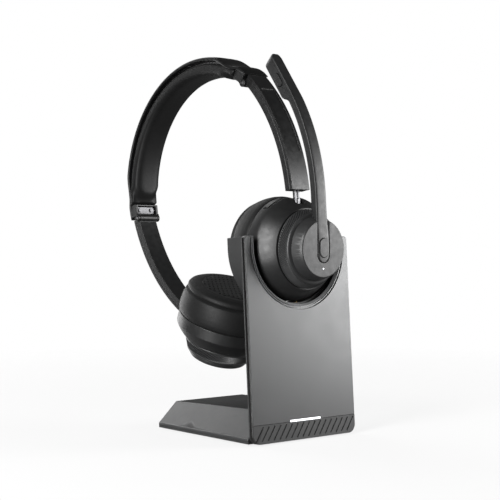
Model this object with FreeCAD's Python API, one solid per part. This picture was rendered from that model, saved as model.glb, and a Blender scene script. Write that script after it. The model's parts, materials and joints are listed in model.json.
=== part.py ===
import FreeCAD, Part
import math
import os

# Office headset resting in its charging stand.
# Row frame: +X to the right across the stand's front panel, +Y to the back, +Z up.
# The origin is on the floor, at the middle of the stand's footprint.
# The stand is drawn from the panel's front bottom edge, and moved to the origin on saving.
# Millimetres and degrees.

# ---- driving dimensions -------------------------------------------------------------

# Stand: a tall panel leaning back on a low base
PANEL_WIDTH = 75.0
PANEL_LENGTH = 111.6        # along the panel's slope
PANEL_LEAN = 3.8            # backwards, from vertical
SKIN_THICKNESS = 1.0
COLUMN_THICKNESS = 2.2
COVER_THICKNESS = 0.7
PANEL_THICKNESS = SKIN_THICKNESS + COLUMN_THICKNESS + COVER_THICKNESS
PANEL_CORNER = 5.0          # bottom corners
PANEL_TOP_CORNER = 1.8
STRIP_HEIGHT = 10.0         # grooved strip along the panel's foot
GROOVE_COUNT = 17
GROOVE_SLANT = 35.0
GROOVE_HALF_WIDTH = 0.35
GROOVE_HALF_LENGTH = 4.6
GROOVE_DEEP = 0.4
LED_HALF = 11.0             # light bar above the strip
LED_BOTTOM = 10.8
LED_TOP = 11.8
LIGHT_HALF = 7.5            # its small board, let into the column
LIGHT_LOW = 8.5
LIGHT_HIGH = 15.5
BASE_LENGTH = 86.0
BASE_EDGE_HEIGHT = 3.5      # the straight band under the sloping sides
BASE_RIDGE = 25.0           # half width of the flat top
BASE_TOP_FRONT = 18.0
BASE_TOP_REAR = 15.0
FOOT_HEIGHT = 0.8           # the base's underside above the floor
BASE_WALL = 2.0
PLATE_THICKNESS = 1.4
MAT_INSET = 4.5
MAT_DEEP = 0.5              # how far the rubber mat is let into the base plate
SCREW_SPOTS = [(x, y) for x in (-28, 28) for y in (16, 74)]
SCREW_RADIUS = 0.9
SCREW_HEAD = 2.1
SCREW_TOP = 6.2
BALLAST_HALF = 21.0
BALLAST_HEIGHT = 6.0
INLET_DEEP = 9.0            # length of the charging socket behind the rear wall
INLET_LOW = 5.3
INLET_HIGH = 8.5
INLET_HALF = 4.4

# Cradle: the U-shaped dock in the panel
DOCK_HEIGHT = 105.3         # cup axis, measured up the panel's slope
DOCK_RADIUS = 31.0          # opening through the panel
BEZEL_RADIUS = 34.0
COLLAR_DEPTH = 15.9         # behind the panel
COLLAR_RADIUS = 34.0
COLLAR_BORE = 30.2
SEAM_DEPTH = 10.9           # cup seam behind the panel's front face

# Headset frame: u to the left cup, v up through the band's crown
HEADSET_TILT = 35.4
HEADSET_ORIGIN = FreeCAD.Vector(0, 43.3, 84.4)
CUP_OFFSET = {"right": 32.2, "left": 32.4}      # seam centres, either side of the middle
CUP_HEIGHT = {"right": 1.36, "left": -1.6}      # one slider is pushed in, the other drawn out
CUP_INCLINE = {"right": 35.4, "left": 33.6}     # cup faces look inwards and up

# Ear cup, along its own axis: d grows outwards, from just inside the seam
CUP_RADIUS = 28.7
SHELL_START = 1.3
RIM_DEPTH = 7.8
SHELL_DEPTH = {"right": 18.2, "left": 15.4}     # the left cup is the shallower one
NECK_RADIUS = 22.3          # shell where the knurled ring starts
WALL = 1.6
RING_GAP = 0.3              # the ring's distance from the shell
RING_LENGTH = {"right": 5.7, "left": 7.7}
RING_RADIUS = 21.7
RING_NOSE = 18.6
RING_BORE = 12.0
RING_TEETH = 48
BOSS_RADIUS = 11.9
SPIGOT_RADIUS = 9.0
HUB_GAP = 0.4               # the hub's distance from the ring
HUB_RADIUS = 17.6
HUB_NOSE = {"right": 15.3, "left": 16.6}
HUB_END = {"right": 31.2, "left": 26.2}
RIGHT_HUB_END = HUB_END["right"]
CUSHION_RADIUS = 29.2
CUSHION_CROWN = 18.8
CUSHION_BACK = -1.0

# Rod, yoke and arm
PIVOT_HEIGHT = 20.0         # yoke axis above the cup axis
PIVOT_DEPTH = 10.6
YOKE_RADIUS = 2.8
YOKE_HALF = 5.5
NOTCH_HALF = 3.8
NOTCH_FLOOR = 24.4
THROAT_HALF = 4.2           # room for the rod to swing below the notch
ROD_HALF = 2.0
ROD_THICKNESS = 1.6
ROD_PIN = 1.0
ARC_CENTRE_U = 36.4         # centre of the arm's curve, on the far side of the middle
ARC_CENTRE_V = 69.5
ROD_RADIUS = 105.7
ARM_OUTER = 110.0
ARM_INNER = 104.0
ARM_SPLIT = 108.0           # where the arm's cover meets its channel
ARM_HALF = 6.5
ARM_BOTTOM = 26.6           # angles below the arc's horizontal
ARM_TOP = -14.0             # just below the band's end
SLOT_TOP = -8.5
ROD_TOP = -5.8              # where the rod ends inside the arm

# Headband
BAND_CENTRE_V = 69.5
BAND_OUTER = 76.6
COVER_INNER = 74.4
SPRING_INNER = 73.2
SPRING_OUTER = 74.0
SPRING_HALF = 6.0
PAD_INNER = 66.0
PAD_OUTER = 73.0
PAD_HALF = 9.5
FRAME_INNER = 68.2          # the end frames' inner face
PLATE_OUTER = 70.95
BAND_HALF = 10.0
BAND_END_HALF = 8.4         # the band narrows over its last stretch
TAPER_LENGTH = 13.0
BAND_END = 158.0            # polar angle of the band's right end
PAD_END = 151.0
FRAME_START = 151.6
FOLD_U = 64.6
FOLD_V = 94.6
BARREL_RADIUS = 2.3
HINGE_PIN = 1.0

# Boom
BOOM_HALF = 3.8
BOOM_THICKNESS = 4.8
POD_THICKNESS = 8.2
BOOM_FRONT = 31.2
BOOM_STRAIGHT = 26.0        # straight run above the cup axis
BOOM_CURVE = 115.0
BOOM_BEND = 32.5
POD_LENGTH = 31.0
FOOT_HALF = 4.2
FOOT_BOTTOM = -7.3
FOOT_TOP = 14.0
BOOM_LEAN = 3.8             # the boom leans back from the hub's face
BOOM_ROOT = 2.4             # height above the cup axis where it starts to lean
LENS_HEIGHT = -10.6
GAP = 0.3                   # between pieces that move past each other

V = FreeCAD.Vector
X_AXIS = V(1, 0, 0)
Y_AXIS = V(0, 1, 0)
Z_AXIS = V(0, 0, 1)
PARTS = "parts"


# ---- helpers ------------------------------------------------------------------------

def box(x, y, z):
    """A block between low and high values along each axis."""
    block = Part.makeBox(x[1] - x[0], y[1] - y[0], z[1] - z[0])
    block.translate(V(x[0], y[0], z[0]))
    return block


def rod_between(start, end, radius):
    """A round bar from one point to another."""
    along = end - start
    return Part.makeCylinder(radius, along.Length, start, along)


def disc(radius, low, high, x=0.0, y=0.0):
    """A round plate about a line along local Z."""
    return Part.makeCylinder(radius, high - low, V(x, y, low), Z_AXIS)


def spun(points):
    """A solid of revolution about local Z from (radius, height) corners."""
    corners = [V(radius, 0, height) for radius, height in points]
    outline = Part.makePolygon(corners + corners[:1])
    return Part.Face(outline).revolve(V(0, 0, 0), Z_AXIS, 360)


def spun_wire(edges):
    """A solid of revolution about local Z from a closed list of edges."""
    return Part.Face(Part.Wire(edges)).revolve(V(0, 0, 0), Z_AXIS, 360)


def line(start, end):
    return Part.LineSegment(start, end).toShape()


def arc(start, middle, end):
    return Part.Arc(start, middle, end).toShape()


def slab(points, half_width):
    """A plate across X from (y, z) corners."""
    corners = [V(-half_width, y, z) for y, z in points]
    outline = Part.makePolygon(corners + corners[:1])
    return Part.Face(outline).extrude(V(2 * half_width, 0, 0))


def polar(centre_u, centre_v, radius, angle):
    """A point of the headset's middle plane, at an angle from +u towards +v."""
    turn = math.radians(angle)
    return V(0, centre_u + radius * math.cos(turn), centre_v + radius * math.sin(turn))


def sector(centre, radii, angles, half_width):
    """A curved bar: part of a ring in the u-v plane, extruded across X."""
    inner, outer = radii
    first, last = angles
    middle = (first + last) / 2
    shift = V(-half_width, 0, 0)
    inside = [polar(*centre, inner, a) + shift for a in (first, middle, last)]
    outside = [polar(*centre, outer, a) + shift for a in (first, middle, last)]
    edges = [
        arc(*inside),
        line(inside[2], outside[2]),
        arc(*reversed(outside)),
        line(outside[0], inside[0]),
    ]
    return Part.Face(Part.Wire(edges)).extrude(V(2 * half_width, 0, 0))


def rounded(shape, radius, chosen):
    """Fillet the edges that a test picks."""
    return shape.makeFillet(radius, [edge for edge in shape.Edges if chosen(edge)])


def pill(half_width, low, high, front, back):
    """An oblong key: round ends along local Y, between two depths."""
    body = box((-half_width, half_width), (low + half_width, high - half_width), (front, back))
    for end in (low + half_width, high - half_width):
        body = body.fuse(disc(half_width, front, back, 0, end))
    return body.removeSplitter()


def placed(shape, rotation, origin):
    moved = shape.copy()
    moved.Placement = FreeCAD.Placement(origin, rotation).multiply(moved.Placement)
    return moved


HALF_TURN = FreeCAD.Rotation(Z_AXIS, 180)


def turned_about_crown(shape):
    """The other side of the headset: half a turn about its v axis."""
    return placed(shape, HALF_TURN, V(0, 0, 0))


def mirrored_if_left(shape, side):
    return turned_about_crown(shape) if side == "left" else shape


PANEL_TURN = FreeCAD.Rotation(X_AXIS, -PANEL_LEAN)
HEADSET_TURN = FreeCAD.Rotation(X_AXIS, -HEADSET_TILT)


def on_panel(shape):
    return placed(shape, PANEL_TURN, V(0, 0, 0))


def on_headset(shape):
    return placed(shape, HEADSET_TURN, HEADSET_ORIGIN)


def cup_to_headset(shape, side):
    """From the cup's own frame (X across, Y up to the rod, Z outwards) to the headset's."""
    turn = FreeCAD.Rotation(X_AXIS, 90 + CUP_INCLINE[side])
    moved = placed(shape, turn, V(0, -CUP_OFFSET[side], CUP_HEIGHT[side]))
    return mirrored_if_left(moved, side)


def on_cup(shape, side):
    return on_headset(cup_to_headset(shape, side))


def on_boom(shape):
    """Lean a piece of the boom back from the hub's face, in the cup's frame."""
    turn = FreeCAD.Rotation(X_AXIS, -BOOM_LEAN)
    root = V(0, BOOM_ROOT, BOOM_FRONT)
    return placed(shape, turn, root - turn.multVec(V(0, 0, BOOM_FRONT)))


def save(shape, name):
    if not shape.isValid():
        raise ValueError("bad solid: " + name)
    moved = shape.copy()
    moved.translate(V(0, -BASE_LENGTH / 2, 0))
    moved.exportStep(os.path.join(PARTS, name + ".step"))
    print(name, len(moved.Solids), round(moved.Volume, 1))


# ---- stand --------------------------------------------------------------------------

def panel_blank(front, back):
    """The panel's outline, between two depths, with all four corners rounded."""
    half = PANEL_WIDTH / 2
    blank = box((-half, half), (front, back), (FOOT_HEIGHT, PANEL_LENGTH))

    def along_depth(edge):
        ends = edge.Vertexes
        return len(ends) == 2 and abs(ends[0].Y - ends[1].Y) > (back - front) * 0.9

    blank = rounded(blank, PANEL_CORNER, lambda e: along_depth(e) and e.Vertexes[0].Z < STRIP_HEIGHT)
    return rounded(blank, PANEL_TOP_CORNER, lambda e: along_depth(e) and e.Vertexes[0].Z > STRIP_HEIGHT)


def dock_cut(radius, front, back):
    """The U-shaped space of the dock: round below, straight up and open at the top."""
    low = V(0, front, DOCK_HEIGHT)
    space = rod_between(low, V(0, back, DOCK_HEIGHT), radius)
    return space.fuse(box((-radius, radius), (front, back), (DOCK_HEIGHT, PANEL_LENGTH + 5))).removeSplitter()


def panel_layer(front, back, bore):
    return panel_blank(front, back).cut(dock_cut(bore, front - 1, back + 1))


def slanted_groove(x):
    groove = box(
        (-GROOVE_HALF_WIDTH, GROOVE_HALF_WIDTH),
        (-GROOVE_DEEP, GROOVE_DEEP),
        (-GROOVE_HALF_LENGTH, GROOVE_HALF_LENGTH),
    )
    groove.rotate(V(0, 0, 0), Y_AXIS, GROOVE_SLANT)
    groove.translate(V(x, 0, STRIP_HEIGHT / 2 + 1))
    return groove


def make_panel_front():
    """The painted skin, the light bar and the grooved strip below it."""
    half = PANEL_WIDTH / 2
    led = box((-LED_HALF, LED_HALF), (0, SKIN_THICKNESS), (LED_BOTTOM, LED_TOP))
    below = box((-half - 1, half + 1), (-1, SKIN_THICKNESS + 1), (-1, LED_BOTTOM))
    layer = panel_layer(0, SKIN_THICKNESS, BEZEL_RADIUS)
    save(on_panel(layer.cut(below).cut(led)), "front_panel")
    save(on_panel(led), "led_bar")

    strip = layer.common(below)
    pitch = PANEL_WIDTH / (GROOVE_COUNT + 1)
    for index in range(GROOVE_COUNT):
        strip = strip.cut(slanted_groove(pitch * (index + 1) - half))
    save(on_panel(strip), "groove_strip")


def make_bezel():
    """The trim round the dock, stepped down towards the opening."""
    trim = dock_cut(BEZEL_RADIUS - 0.05, 0.3, SKIN_THICKNESS).cut(dock_cut(DOCK_RADIUS, 0, 2))
    step = dock_cut(BEZEL_RADIUS - 1.4, 0, 0.6)
    save(on_panel(trim.cut(step).common(panel_blank(0, SKIN_THICKNESS))), "cradle_bezel")


def make_column():
    """The glossy core of the panel, the light's board let into it, and the back cover."""
    skin_back = SKIN_THICKNESS
    column_back = skin_back + COLUMN_THICKNESS
    column = panel_layer(skin_back, column_back, DOCK_RADIUS)
    room = box(
        (-LIGHT_HALF - 0.5, LIGHT_HALF + 0.5),
        (skin_back - 1, skin_back + 1.2),
        (LIGHT_LOW - 0.5, LIGHT_HIGH + 0.5),
    )
    save(on_panel(column.cut(room)), "stand_column")
    light = box((-LIGHT_HALF, LIGHT_HALF), (skin_back + 0.2, skin_back + 1.1), (LIGHT_LOW, LIGHT_HIGH))
    save(on_panel(light), "led_board")
    save(on_panel(panel_layer(column_back, PANEL_THICKNESS, DOCK_RADIUS)), "back_cover")


def collar_shape():
    front = PANEL_THICKNESS
    back = front + COLLAR_DEPTH
    solid = dock_cut(COLLAR_RADIUS, front, back).cut(dock_cut(COLLAR_BORE, front - 1, back + 1))
    return solid.cut(box((-50, 50), (0, 50), (PANEL_LENGTH, PANEL_LENGTH + 60)))


PIN_SPREAD = 3.0
PIN_DEPTH = SEAM_DEPTH - 3.5
PIN_RADIUS = 0.9


def make_cradle():
    """The collar that holds the docked cup, with two sprung pins in its floor."""
    collar = collar_shape()
    floor = DOCK_HEIGHT - COLLAR_RADIUS
    for side in (-1, 1):
        hole = disc(PIN_RADIUS + 0.1, floor - 1, DOCK_HEIGHT, side * PIN_SPREAD, PIN_DEPTH)
        collar = collar.cut(hole)
    pocket = box((-6.2, 6.2), (PIN_DEPTH - 2.4, PIN_DEPTH + 2.4), (floor - 1, floor + 2.9))
    collar = collar.cut(pocket)
    save(on_panel(collar), "cradle_collar")

    board = box((-6, 6), (PIN_DEPTH - 2.2, PIN_DEPTH + 2.2), (floor + 0.6, floor + 1.6))
    save(on_panel(board), "pin_carrier")

    pins = []
    for side in (-1, 1):
        top = DOCK_HEIGHT - COLLAR_BORE + 0.35
        pins.append(disc(PIN_RADIUS, floor + 2.3, top, side * PIN_SPREAD, PIN_DEPTH))
    save(on_panel(Part.makeCompound(pins)), "contact_pins")


def base_section(y, half_edge, half_ridge, top, low):
    corners = [
        V(-half_edge, y, low),
        V(half_edge, y, low),
        V(half_edge, y, BASE_EDGE_HEIGHT),
        V(half_ridge, y, top),
        V(-half_ridge, y, top),
        V(-half_edge, y, BASE_EDGE_HEIGHT),
    ]
    return Part.makePolygon(corners + corners[:1])


def base_loft(front, back, inset, low):
    half = PANEL_WIDTH / 2 - inset
    ridge = BASE_RIDGE - inset * 0.6
    slope = (BASE_TOP_REAR - BASE_TOP_FRONT) / BASE_LENGTH
    sections = [base_section(y, half, ridge, BASE_TOP_FRONT + slope * y - inset, low) for y in (front, back)]
    return Part.makeLoft(sections, True, True)


PLATE_TOP = FOOT_HEIGHT + PLATE_THICKNESS
BASE_FRONT = PANEL_THICKNESS + BASE_TOP_FRONT * math.tan(math.radians(PANEL_LEAN)) + 0.05


def behind_panel(shape):
    """Trim a piece of the base to the leaning back of the panel."""
    return shape.cut(on_panel(box((-60, 60), (-5, PANEL_THICKNESS + 0.02), (-5, 60))))


def bar(half_width, y, z, corner):
    """A block about the middle plane whose edges along Y are rounded."""
    block = box((-half_width, half_width), y, z)
    return rounded(block, corner, lambda e: abs(e.Length - (y[1] - y[0])) < 0.01)


def make_base_shell():
    """The hollow wedge-sided top of the base, with four screw posts."""
    shell = base_loft(BASE_FRONT, BASE_LENGTH, 0, PLATE_TOP)
    hollow = base_loft(BASE_FRONT + BASE_WALL, BASE_LENGTH - BASE_WALL, BASE_WALL, PLATE_TOP - 1)
    shell = behind_panel(shell.cut(hollow))
    solid = base_loft(BASE_FRONT, BASE_LENGTH, 0.5, PLATE_TOP)
    posts = [disc(3.0, PLATE_TOP, 30, x, y).common(solid) for x, y in SCREW_SPOTS]
    shell = shell.multiFuse(posts).removeSplitter()
    rear = (BASE_LENGTH - BASE_WALL - 1, BASE_LENGTH + 1)
    shell = shell.cut(bar(INLET_HALF + 0.2, rear, (INLET_LOW - 0.1, INLET_HIGH + 0.1), 1.6))
    for x, y in SCREW_SPOTS:
        shell = shell.cut(disc(SCREW_RADIUS, PLATE_TOP - 1, SCREW_TOP + 0.2, x, y))
    save(shell, "base_shell")


def make_base_underside():
    """The plate, its rubber mat and the screws that the mat hides."""
    half = PANEL_WIDTH / 2
    top = PLATE_TOP - 0.02
    plate = box((0.3 - half, half - 0.3), (BASE_FRONT - 0.05, BASE_LENGTH - 0.2), (FOOT_HEIGHT, top))
    mat_half = half - MAT_INSET
    mat_top = FOOT_HEIGHT + MAT_DEEP
    mat = box((-mat_half, mat_half), (BASE_FRONT + MAT_INSET, BASE_LENGTH - MAT_INSET), (0, mat_top))
    mat = rounded(mat, 4.0, lambda e: abs(e.Length - mat_top) < 0.01)
    plate = behind_panel(plate).cut(mat)
    head_low = mat_top + 0.05
    head_high = mat_top + 0.5
    screws = []
    for x, y in SCREW_SPOTS:
        plate = plate.cut(disc(SCREW_RADIUS + 0.3, 0, 5, x, y))
        plate = plate.cut(disc(SCREW_HEAD + 0.1, 0, head_high, x, y))
        head = disc(SCREW_HEAD, head_low, head_high, x, y)
        screws.append(head.fuse(disc(SCREW_RADIUS, head_low, SCREW_TOP, x, y)).removeSplitter())
    save(plate, "base_plate")
    save(mat, "base_mat")
    save(Part.makeCompound(screws), "base_screws")


def make_base_inside():
    """The ballast, the charging board and the socket in the rear wall."""
    ballast = box((-BALLAST_HALF, BALLAST_HALF), (12, 66), (PLATE_TOP, PLATE_TOP + BALLAST_HEIGHT))
    save(ballast, "ballast")
    board_end = BASE_LENGTH - INLET_DEEP - 0.2
    board_top = INLET_LOW - 0.1
    save(box((-12, 12), (67, board_end), (board_top - 1.2, board_top)), "charge_board")

    rear = (BASE_LENGTH - INLET_DEEP, BASE_LENGTH - 0.3)
    mouth = (BASE_LENGTH - INLET_DEEP + 2, BASE_LENGTH + 1)
    socket = bar(INLET_HALF, rear, (INLET_LOW, INLET_HIGH), 1.5)
    socket = socket.cut(bar(INLET_HALF - 0.8, mouth, (INLET_LOW + 0.6, INLET_HIGH - 0.6), 0.9))
    middle = (INLET_LOW + INLET_HIGH) / 2
    tongue = box((-3.0, 3.0), (mouth[0] - 0.5, BASE_LENGTH - 1.2), (middle - 0.3, middle + 0.3))
    save(socket.fuse(tongue), "usb_socket")


# ---- ear cups -----------------------------------------------------------------------

def shell_outline(radius, rim, neck, top):
    """Half section of the shell's outside: a straight rim, then a dome down to the neck."""
    knee = V(radius, 0, rim)
    crown = V(neck, 0, top)
    bulge = V(radius - (radius - neck) * 0.46, 0, rim + (top - rim) * 0.54)
    start = V(0, 0, SHELL_START)
    edge = V(radius, 0, SHELL_START)
    return [
        line(start, edge),
        line(edge, knee),
        arc(knee, bulge, crown),
        line(crown, V(0, 0, top)),
        line(V(0, 0, top), start),
    ]


def notch_space(half, floor, low, high):
    """A U-shaped notch in the top of the shell, right through along the cup's axis."""
    space = box((-half, half), (floor + half, 40), (low, high))
    return space.fuse(disc(half, low, high, 0, floor + half)).removeSplitter()


def ring_end(side):
    return SHELL_DEPTH[side] + RING_GAP + RING_LENGTH[side]


def make_shell(side):
    depth = SHELL_DEPTH[side]
    outer = spun_wire(shell_outline(CUP_RADIUS, RIM_DEPTH, NECK_RADIUS, depth))
    inner_radius = CUP_RADIUS - WALL
    inner = spun_wire(shell_outline(inner_radius, RIM_DEPTH - 0.4, NECK_RADIUS - 1.2, depth - WALL))
    block = box((-YOKE_HALF - 2.2, YOKE_HALF + 2.2), (PIVOT_HEIGHT - YOKE_RADIUS - 2, 40), (-1, 30))
    shell = outer.cut(inner.cut(block))
    boss_end = ring_end(side) + 0.2
    shell = shell.fuse(disc(BOSS_RADIUS, depth - 1, boss_end)).removeSplitter()
    shell = shell.cut(disc(SPIGOT_RADIUS + 0.05, depth - 4, boss_end + 1))
    shell = shell.cut(notch_space(NOTCH_HALF, NOTCH_FLOOR, -1, 40))
    left_end = V(-YOKE_HALF - 0.5, PIVOT_HEIGHT, PIVOT_DEPTH)
    right_end = V(YOKE_HALF + 0.5, PIVOT_HEIGHT, PIVOT_DEPTH)
    shell = shell.cut(rod_between(left_end, right_end, YOKE_RADIUS + 0.05))
    low = PIVOT_DEPTH - THROAT_HALF
    high = PIVOT_DEPTH + THROAT_HALF
    throat = box((-NOTCH_HALF, NOTCH_HALF), (PIVOT_HEIGHT - 6, NOTCH_FLOOR + 4), (low, high))
    shell = shell.cut(throat)
    if side == "right":
        shell = shell.cut(rocker_solid(0.35, 0.6))
        shell = shell.cut(contact_pads())
    return shell


ROCKER_FIRST = 14.0         # angles from the cup's top towards -X
ROCKER_LAST = 39.0
ROCKER_LOW = 3.4
ROCKER_HIGH = 6.8


def rocker_solid(grow, deeper):
    """The volume rocker: a curved key let into the rim. Grown, it is the recess."""
    spread = math.degrees(grow / CUP_RADIUS)
    ring = disc(CUP_RADIUS + 0.35 + deeper, ROCKER_LOW - grow, ROCKER_HIGH + grow)
    ring = ring.cut(disc(CUP_RADIUS - 0.75 - deeper * 0.5, ROCKER_LOW - 2, ROCKER_HIGH + 2))
    reach = 60.0
    first = math.radians(90 + ROCKER_FIRST - spread)
    last = math.radians(90 + ROCKER_LAST + spread)
    corners = [
        V(0, 0, 0),
        V(reach * math.cos(first), reach * math.sin(first), 0),
        V(reach * math.cos(last), reach * math.sin(last), 0),
    ]
    wedge = Part.Face(Part.makePolygon(corners + corners[:1])).extrude(V(0, 0, 20))
    return ring.common(wedge)


def contact_pads():
    """Two charging contacts let into the bottom of the rim."""
    rim = disc(CUP_RADIUS - 0.02, 0, RIM_DEPTH)
    pads = []
    for side in (-1, 1):
        centre = side * PIN_SPREAD
        pad = box((centre - 1.3, centre + 1.3), (-CUP_RADIUS - 1, -CUP_RADIUS + 0.85), (2.0, 5.0))
        pads.append(pad.common(rim))
    return Part.makeCompound(pads)


def cushion_solid():
    """The ear cushion: a closed round pad with a shallow dish in its face."""
    middle = V(0, 0, CUSHION_BACK)
    skirt = V(28.0, 0, CUSHION_BACK)
    brow = V(27.3, 0, -15.8)
    dish = V(12.0, 0, 0.8 - CUSHION_CROWN)
    centre = V(0, 0, 1.2 - CUSHION_CROWN)
    edges = [
        line(middle, skirt),
        arc(skirt, V(CUSHION_RADIUS, 0, -8.0), brow),
        arc(brow, V(21.0, 0, -CUSHION_CROWN), dish),
        line(dish, centre),
        line(centre, middle),
    ]
    return spun_wire(edges)


def ring_solid(side):
    """The knurled ring: a short cone with slanting cuts round its edge."""
    start = SHELL_DEPTH[side] + RING_GAP
    end = ring_end(side)
    ring = spun([
        (RING_BORE, start),
        (RING_RADIUS, start),
        (RING_NOSE + 0.9, end - 1.0),
        (RING_NOSE, end),
        (RING_BORE, end),
    ])
    cone_angle = math.degrees(math.atan2(RING_RADIUS - RING_NOSE, end - start))
    middle = V((RING_RADIUS + RING_NOSE) / 2 + 0.35, 0, (start + end) / 2)
    cuts = []
    for index in range(RING_TEETH):
        cut = box((-0.4, 0.4), (-0.4, 0.4), (-6, 6))
        cut.rotate(V(0, 0, 0), X_AXIS, 45 - 10)
        cut = placed(cut, FreeCAD.Rotation(Y_AXIS, -cone_angle), middle)
        cut.rotate(V(0, 0, 0), Z_AXIS, 360.0 * index / RING_TEETH)
        cuts.append(cut)
    return ring.cut(Part.makeCompound(cuts))


def make_cup(side):
    save(on_cup(make_shell(side), side), side + "_shell")

    front = CUSHION_BACK + 0.3
    back = SHELL_START - 0.05
    baffle = disc(CUP_RADIUS - 0.6, front, back).cut(disc(14.0, front - 1, back + 1))
    lip = disc(CUP_RADIUS - WALL - 0.3, back - 0.01, back + 1.6)
    baffle = baffle.fuse(lip.cut(disc(CUP_RADIUS - WALL - 1.8, back - 1, back + 3)))
    room = (PIVOT_HEIGHT - YOKE_RADIUS - 2.2, 40)
    baffle = baffle.cut(box((-YOKE_HALF - 2.4, YOKE_HALF + 2.4), room, (back - 0.01, back + 5)))
    baffle = baffle.cut(notch_space(NOTCH_HALF + 0.2, NOTCH_FLOOR + 1.2, front - 1, back + 3))
    save(on_cup(baffle, side), side + "_baffle")

    driver = disc(13.9, front + 0.2, back + 2.4)
    driver = driver.fuse(disc(8.5, back + 2.3, back + 6.0)).removeSplitter()
    save(on_cup(driver, side), side + "_driver")
    save(on_cup(cushion_solid(), side), side + "_cushion")
    save(on_cup(ring_solid(side), side), side + "_ring")

    start = V(-YOKE_HALF, PIVOT_HEIGHT, PIVOT_DEPTH)
    end = V(YOKE_HALF, PIVOT_HEIGHT, PIVOT_DEPTH)
    yoke = rod_between(start, end, YOKE_RADIUS)
    yoke = yoke.cut(box((-NOTCH_HALF + 0.2, NOTCH_HALF - 0.2), (PIVOT_HEIGHT + 1.9, 40), (0, 30)))
    yoke_in_headset = cup_to_headset(yoke, side)
    pin_bore = rod_pin(side, ROD_PIN + 0.05, 4.0)
    save(on_headset(yoke_in_headset.cut(pin_bore)), side + "_yoke")


def hub_cap(side, spigot_end):
    """The hub outside the ring: a short cone with a softened face, on its spigot."""
    start = ring_end(side) + HUB_GAP
    end = HUB_END[side]
    nose = HUB_NOSE[side]
    cone = spun([
        (0, start),
        (HUB_RADIUS, start),
        (nose + 0.4, end - 0.6),
        (nose - 0.1, end),
        (0, end),
    ])
    return cone.fuse(disc(SPIGOT_RADIUS, spigot_end, start)).removeSplitter()


def make_left_cup_inside():
    hub = hub_cap("left", SHELL_DEPTH["left"] - WALL + 0.1)
    save(on_cup(hub, "left"), "left_hub")
    battery = box((-13, 13), (-12, 8), (7.7, 12.9))
    battery = rounded(battery, 1.5, lambda e: abs(e.Length - 5.2) < 0.01)
    save(on_cup(battery, "left"), "battery")


def make_right_cup_inside():
    board = disc(17.0, 9.0, 10.2)
    board = board.cut(box((-40, 40), (12.5, 40), (8, 12)))
    save(on_cup(board, "right"), "main_board")
    save(on_cup(rocker_solid(0.0, 0.0), "right"), "volume_rocker")
    save(on_cup(contact_pads(), "right"), "charge_contacts")


# ---- boom ---------------------------------------------------------------------------

def boom_point(distance, depth):
    """A point of the boom's side profile: distance up along its front line, and depth behind it."""
    bend = math.radians(BOOM_BEND)
    arc_length = BOOM_CURVE * bend
    if distance <= BOOM_STRAIGHT:
        return V(0, distance, BOOM_FRONT - depth)
    turn = min((distance - BOOM_STRAIGHT) / BOOM_CURVE, bend)
    radius = BOOM_CURVE - depth
    y = BOOM_STRAIGHT + radius * math.sin(turn)
    d = BOOM_FRONT - BOOM_CURVE + radius * math.cos(turn)
    run = max(distance - BOOM_STRAIGHT - arc_length, 0.0)
    return V(0, y + run * math.cos(bend), d - run * math.sin(bend))


def boom_profile(start, end, front, back, half_width):
    """A length of the boom between two depths, extruded across X."""
    bend_end = BOOM_STRAIGHT + BOOM_CURVE * math.radians(BOOM_BEND)
    shift = V(-half_width, 0, 0)

    def side(depth):
        edges = []
        stops = [stop for stop in (BOOM_STRAIGHT, bend_end) if start < stop < end]
        marks = [start] + stops + [end]
        for low, high in zip(marks, marks[1:]):
            first = boom_point(low, depth) + shift
            last = boom_point(high, depth) + shift
            middle = boom_point((low + high) / 2, depth) + shift
            curved = low >= BOOM_STRAIGHT and high <= bend_end + 1e-6
            edges.append(arc(first, middle, last) if curved else line(first, last))
        return edges

    front_edges = side(front)
    back_edges = side(back)
    ends = [line(boom_point(stop, front) + shift, boom_point(stop, back) + shift) for stop in (start, end)]
    outline = Part.Wire(Part.__sortEdges__(front_edges + back_edges + ends))
    return Part.Face(outline).extrude(V(2 * half_width, 0, 0))


BOOM_LENGTH = BOOM_STRAIGHT + BOOM_CURVE * math.radians(BOOM_BEND) + POD_LENGTH - 4.5
POD_START = BOOM_STRAIGHT + BOOM_CURVE * math.radians(BOOM_BEND) - 4.0
MUTE_MIDDLE = POD_START + 13.3


def mute_key(half_width, half_length, low, high):
    """The mute button, on the pod's -X side."""
    key = pill(half_width, -half_length, half_length, low, high)
    key = placed(key, FreeCAD.Rotation(Y_AXIS, -90), V(0, 0, 0))
    key.rotate(V(0, 0, 0), X_AXIS, -BOOM_BEND)
    key.translate(boom_point(MUTE_MIDDLE, POD_THICKNESS / 2))
    return key


FOOT_DEEP = 3.0             # how far the boom's foot is let into the hub
KEY_MIDDLE = 0.6            # the call button, above the cup axis
KEY_HALF_LENGTH = 5.1
KEY_HALF_WIDTH = 2.9


def make_boom_hub():
    """The turning hub, its clip inside the shell and its status light."""
    wall_inside = SHELL_DEPTH["right"] - WALL
    hub = hub_cap("right", wall_inside - 1.7)
    core = disc(SPIGOT_RADIUS - 0.8, 0, RIGHT_HUB_END)
    hub = hub.cut(disc(SPIGOT_RADIUS + 1, wall_inside - 1.3, wall_inside - 0.2).cut(core))
    floor = RIGHT_HUB_END - FOOT_DEEP
    hub = hub.cut(pill(FOOT_HALF + 0.25, FOOT_BOTTOM - 0.25, 40, floor, RIGHT_HUB_END + 2))
    hub = hub.cut(disc(0.4, RIGHT_HUB_END - 2, RIGHT_HUB_END + 1, 0, LENS_HEIGHT))
    save(on_cup(hub, "right"), "boom_hub")

    clip = disc(10.6, wall_inside - 1.2, wall_inside - 0.3).cut(core)
    save(on_cup(clip, "right"), "boom_clip")

    lens = disc(0.35, RIGHT_HUB_END - 1.9, RIGHT_HUB_END + 0.05, 0, LENS_HEIGHT)
    save(on_cup(lens, "right"), "status_lens")


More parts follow.
